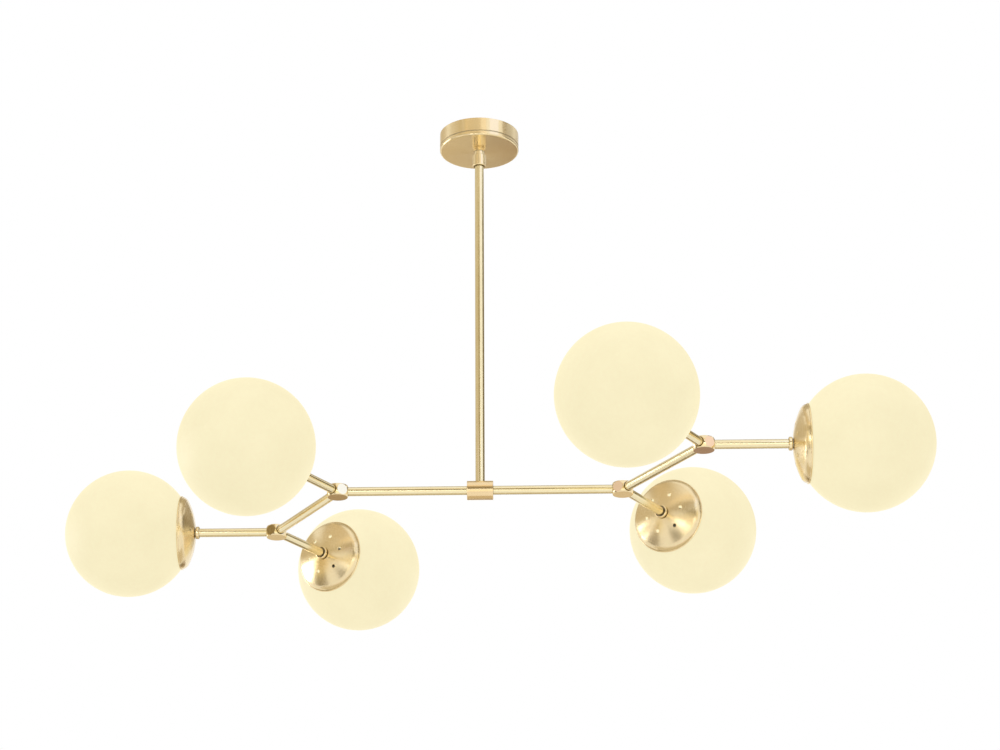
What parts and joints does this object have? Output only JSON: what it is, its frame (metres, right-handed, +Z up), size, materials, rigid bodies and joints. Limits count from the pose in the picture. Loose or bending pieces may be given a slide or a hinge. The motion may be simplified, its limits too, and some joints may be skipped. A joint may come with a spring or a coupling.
{
  "type": "rod-hung ball-globe chandelier",
  "caption": "Branching brass chandelier on one stem: three-way hubs, straight tubes, vented dishes and opal ball globes under a round drum canopy.",
  "frame": {"origin": "point of the ceiling over the stem, on the upper face of the mounting bar, midway between its slots", "axes": "+Z up, out of the ceiling face; +X along the bar of the frame and the slots; -Y the side nearest the viewer"},
  "size_m": [1.321, 0.9898, 0.7],
  "materials": {
    "opal_glass": "satin opal, lit",
    "lamp": "matt white",
    "lampholder": "smooth black",
    "spring_steel": "bare spring steel",
    "dish_brass": "satin",
    "hub_brass": "satin",
    "tube_brass": "polished satin",
    "canopy_brass": "brushed round",
    "sleeve_brass": "satin, a little redder",
    "shell_brass": "bare",
    "zinc_steel": "zinc plated",
    "green_steel": "green ground screw",
    "wire_cover": "white insulation"
  },
  "bodies": {
    "ceiling_end": {"mounting_bar": "zinc_steel", "ground_screw": "green_steel", "ceiling_nipple": "zinc_steel", "lock_washer": "zinc_steel", "lock_nut": "zinc_steel"},
    "canopy_body": {"canopy": "canopy_brass", "canopy_collar": "canopy_brass", "collar_set_screw": "hub_brass"},
    "globe_body_left_near": {"globe_left_near": "opal_glass"},
    "lamp_body_left_near": {"lamp_left_near": "lamp"},
    "globe_body_left_end": {"globe_left_end": "opal_glass"},
    "lamp_body_left_end": {"lamp_left_end": "lamp"},
    "globe_body_left_far": {"globe_left_far": "opal_glass"},
    "lamp_body_left_far": {"lamp_left_far": "lamp"},
    "globe_body_right_far": {"globe_right_far": "opal_glass"},
    "lamp_body_right_far": {"lamp_right_far": "lamp"},
    "globe_body_right_end": {"globe_right_end": "opal_glass"},
    "lamp_body_right_end": {"lamp_right_end": "lamp"},
    "globe_body_right_near": {"globe_right_near": "opal_glass"},
    "lamp_body_right_near": {"lamp_right_near": "lamp"},
    "fixture": {"arm_left_end": "tube_brass", "arm_left_far": "tube_brass", "arm_left_near": "tube_brass", "arm_right_end": "tube_brass", "arm_right_far": "tube_brass", "arm_right_near": "tube_brass", "bar_left": "tube_brass", "bar_right": "tube_brass", "centre_sleeve": "sleeve_brass", "dish_left_end": "dish_brass", "dish_left_far": "dish_brass", "dish_left_near": "dish_brass", "dish_right_end": "dish_brass", "dish_right_far": "dish_brass", "dish_right_near": "dish_brass", "hanging_stem": "tube_brass", "hub_inner_left": "hub_brass", "hub_inner_right": "hub_brass", "hub_outer_left": "hub_brass", "hub_outer_right": "hub_brass", "lampholder_left_end": "lampholder", "lampholder_left_far": "lampholder", "lampholder_left_near": "lampholder", "lampholder_right_end": "lampholder", "lampholder_right_far": "lampholder", "lampholder_right_near": "lampholder", "link_left": "tube_brass", "link_right": "tube_brass", "ring_nuts": "hub_brass", "screw_shells": "shell_brass", "spring_clip_left_end": "spring_steel", "spring_clip_left_far": "spring_steel", "spring_clip_left_near": "spring_steel", "spring_clip_right_end": "spring_steel", "spring_clip_right_far": "spring_steel", "spring_clip_right_near": "spring_steel", "stem_coupling": "zinc_steel", "wiring_loom": "wire_cover"}
  },
  "joints": [
    {"name": "stem_swivel", "type": "hinge", "parent": "ceiling_end", "child": "fixture", "pos_m": [0, 0, 0], "axis": [0, 0, 1], "range_deg": [-165, 165]},
    {"name": "canopy_slide", "type": "slide", "parent": "fixture", "child": "canopy_body", "axis": [0, 0, -1], "range_m": [0, 0.521]},
    {"name": "globe_pull_left_near", "type": "slide", "parent": "fixture", "child": "globe_body_left_near", "axis": [-0.5, -0.866, 0], "range_m": [0, 0.13]},
    {"name": "lamp_unscrew_left_near", "type": "slide", "parent": "fixture", "child": "lamp_body_left_near", "axis": [-0.5, -0.866, 0], "range_m": [0, 0.026]},
    {"name": "globe_pull_left_end", "type": "slide", "parent": "fixture", "child": "globe_body_left_end", "axis": [-1, 0, 0], "range_m": [0, 0.13]},
    {"name": "lamp_unscrew_left_end", "type": "slide", "parent": "fixture", "child": "lamp_body_left_end", "axis": [-1, 0, 0], "range_m": [0, 0.026]},
    {"name": "globe_pull_left_far", "type": "slide", "parent": "fixture", "child": "globe_body_left_far", "axis": [0.5, 0.866, 0], "range_m": [0, 0.13]},
    {"name": "lamp_unscrew_left_far", "type": "slide", "parent": "fixture", "child": "lamp_body_left_far", "axis": [0.5, 0.866, 0], "range_m": [0, 0.026]},
    {"name": "globe_pull_right_far", "type": "slide", "parent": "fixture", "child": "globe_body_right_far", "axis": [0.5, 0.866, 0], "range_m": [0, 0.13]},
    {"name": "lamp_unscrew_right_far", "type": "slide", "parent": "fixture", "child": "lamp_body_right_far", "axis": [0.5, 0.866, 0], "range_m": [0, 0.026]},
    {"name": "globe_pull_right_end", "type": "slide", "parent": "fixture", "child": "globe_body_right_end", "axis": [1, 0, 0], "range_m": [0, 0.13]},
    {"name": "lamp_unscrew_right_end", "type": "slide", "parent": "fixture", "child": "lamp_body_right_end", "axis": [1, 0, 0], "range_m": [0, 0.026]},
    {"name": "globe_pull_right_near", "type": "slide", "parent": "fixture", "child": "globe_body_right_near", "axis": [-0.5, -0.866, 0], "range_m": [0, 0.13]},
    {"name": "lamp_unscrew_right_near", "type": "slide", "parent": "fixture", "child": "lamp_body_right_near", "axis": [-0.5, -0.866, 0], "range_m": [0, 0.026]}
  ]
}
